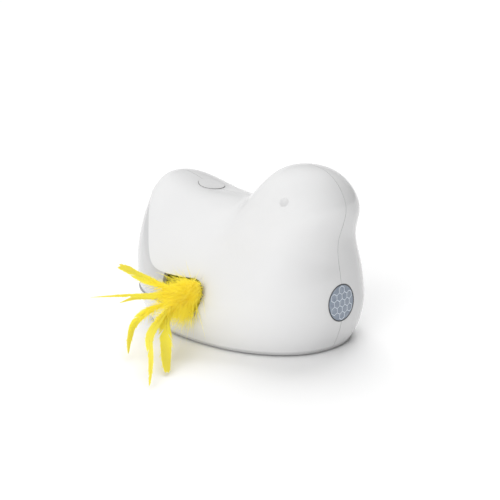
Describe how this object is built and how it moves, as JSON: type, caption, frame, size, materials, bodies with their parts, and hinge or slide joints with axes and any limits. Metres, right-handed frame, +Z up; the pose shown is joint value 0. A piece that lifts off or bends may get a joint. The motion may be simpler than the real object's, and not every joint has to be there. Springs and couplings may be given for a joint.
{
  "type": "motion-sensing bird toy with sweeping feather wand",
  "caption": "Sitting-bird pet toy in glossy plastic: a sensor lens wakes a geared motor that sweeps a feather wand through a slot under the wing.",
  "frame": {"origin": "on the resting surface, midway along and across the body", "axes": "+X towards the beak, +Y towards the bird's left wing, +Z up"},
  "size_m": [0.1754, 0.191, 0.1183],
  "materials": {
    "white_gloss": "glossy",
    "white_panel": "glossy",
    "lens_milky": "frosted, cellular",
    "grey_plastic": "satin",
    "black_plastic": "matte",
    "natural_nylon": "satin",
    "steel": "bright",
    "brass": "satin",
    "board_green": "satin",
    "foot_rubber": "matte",
    "battery_wrap": "gloss",
    "feather_yellow": "soft"
  },
  "bodies": {
    "housing": {"axle_1": "steel", "axle_2": "steel", "base_plate": "white_panel", "base_screw_1": "steel", "base_screw_2": "steel", "base_screw_3": "steel", "base_screw_4": "steel", "battery_1": "battery_wrap", "battery_2": "battery_wrap", "battery_3": "battery_wrap", "battery_box": "grey_plastic", "battery_door": "white_panel", "button_carrier": "grey_plastic", "capacitor": "black_plastic", "chip_1": "black_plastic", "chip_2": "black_plastic", "contacts_left": "steel", "contacts_right": "steel", "door_screw": "steel", "foot_1": "foot_rubber", "foot_2": "foot_rubber", "foot_3": "foot_rubber", "foot_4": "foot_rubber", "foot_5": "foot_rubber", "gearbox_base": "natural_nylon", "gearbox_cover": "natural_nylon", "gearbox_screw_1": "steel", "gearbox_screw_2": "steel", "gearbox_screw_3": "steel", "gearbox_screw_4": "steel", "left_shell": "white_gloss", "lens_retainer": "grey_plastic", "lower_bush": "brass", "main_board": "board_green", "motor_can": "steel", "pir_sensor": "steel", "right_shell": "white_gloss", "sensor_board": "board_green", "sensor_lens": "lens_milky", "sensor_stand": "grey_plastic", "tact_switch": "black_plastic", "tail_panel": "white_panel", "upper_bush": "brass"},
    "power_button": {"power_button": "white_gloss"},
    "wand": {"output_gear": "natural_nylon", "wand_shaft": "steel", "wand_arm": "natural_nylon", "arm_screw": "steel", "wand_plug": "black_plastic", "wand_stem": "natural_nylon", "feather_tuft": "feather_yellow", "feather_1": "feather_yellow", "feather_2": "feather_yellow", "feather_3": "feather_yellow", "feather_4": "feather_yellow", "feather_5": "feather_yellow"},
    "gear_2": {"compound_gear_2": "natural_nylon"},
    "gear_1": {"compound_gear_1": "natural_nylon"},
    "motor_rotor": {"motor_pinion": "brass", "motor_shaft": "steel"}
  },
  "joints": [
    {"name": "wand_sweep", "type": "hinge", "parent": "housing", "child": "wand", "pos_m": [-0.008, 0, 0.0365], "axis": [0, 0, 1], "range_deg": [-25, 0]},
    {"name": "gear_2_spin", "type": "hinge", "parent": "housing", "child": "gear_2", "pos_m": [0.0076, 0, 0.02], "axis": [0, 0, 1], "range_deg": [0, 83.34]},
    {"name": "gear_1_spin", "type": "hinge", "parent": "housing", "child": "gear_1", "pos_m": [0.0214, 0, 0.026], "axis": [0, 0, 1], "range_deg": [-300.01, 0]},
    {"name": "motor_spin", "type": "hinge", "parent": "housing", "child": "motor_rotor", "pos_m": [0.0352, 0, 0.028], "axis": [0, 0, 1], "range_deg": [0, 1080.01]},
    {"name": "button_press", "type": "slide", "parent": "housing", "child": "power_button", "axis": [-0.1971, 0, -0.9804], "range_m": [0, 0.0012], "stiffness_N_per_m": 200, "springref_m": -0.0005}
  ],
  "couplings": [
    {"joint": "gear_2_spin", "follows": "wand_sweep", "ratio": -3.3333},
    {"joint": "gear_1_spin", "follows": "wand_sweep", "ratio": 12},
    {"joint": "motor_spin", "follows": "wand_sweep", "ratio": -43.2}
  ]
}
